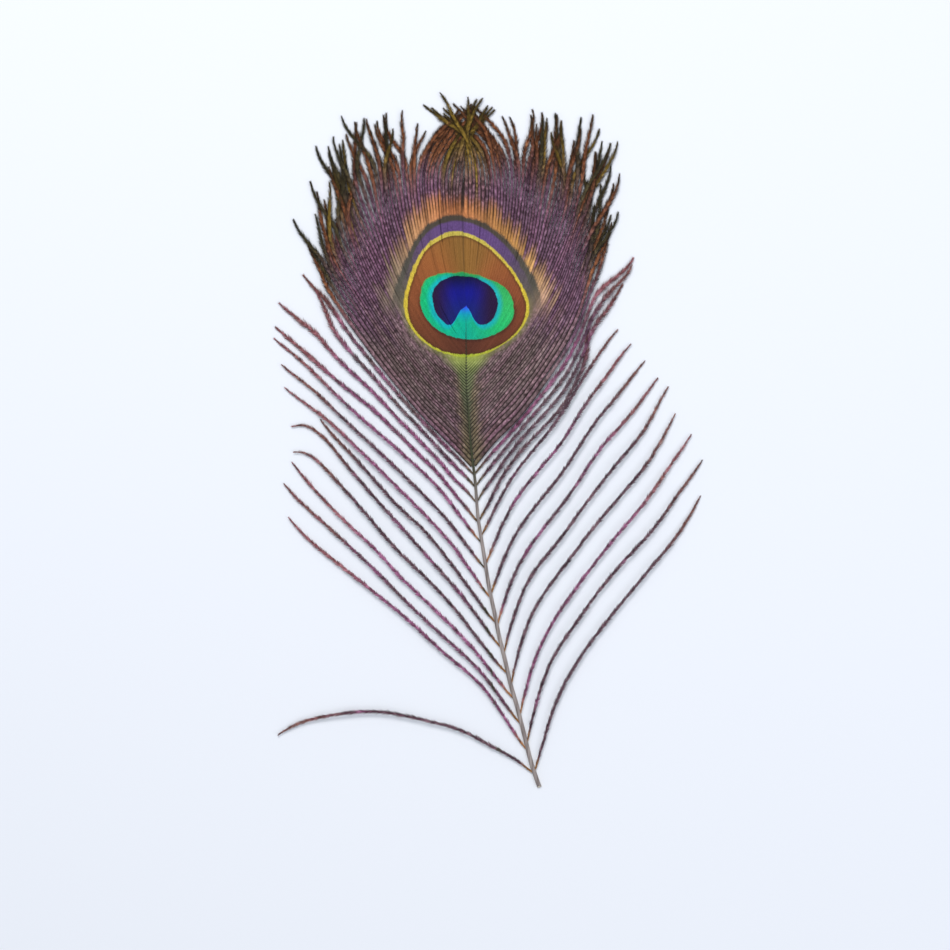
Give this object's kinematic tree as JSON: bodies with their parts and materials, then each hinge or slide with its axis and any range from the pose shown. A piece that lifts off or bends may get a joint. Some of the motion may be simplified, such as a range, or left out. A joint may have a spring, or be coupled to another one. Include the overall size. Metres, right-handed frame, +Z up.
{
  "type": "peacock feather",
  "caption": "Peacock eye feather with a short cut shaft, lying flat with its face up; loose barbs sweep up through the eye into a plume.",
  "frame": {"origin": "on the resting surface, under the middle of the feather's outline", "axes": "+Y from the cut end of the shaft to the top of the plume, +X to the right as the face of the feather is looked at, +Z up out of the face"},
  "size_m": [0.1724, 0.2748, 0.0021],
  "materials": {
    "shaft": "satin horn, taupe above and pale underneath",
    "barbs": "silky barbs: mauve brown with rust and olive tips, and an eye of rings in blue, green, bronze and yellow"
  },
  "bodies": {
    "root": {"shaft": "shaft", "left_vane": "barbs", "right_vane": "barbs"}
  },
  "joints": []
}
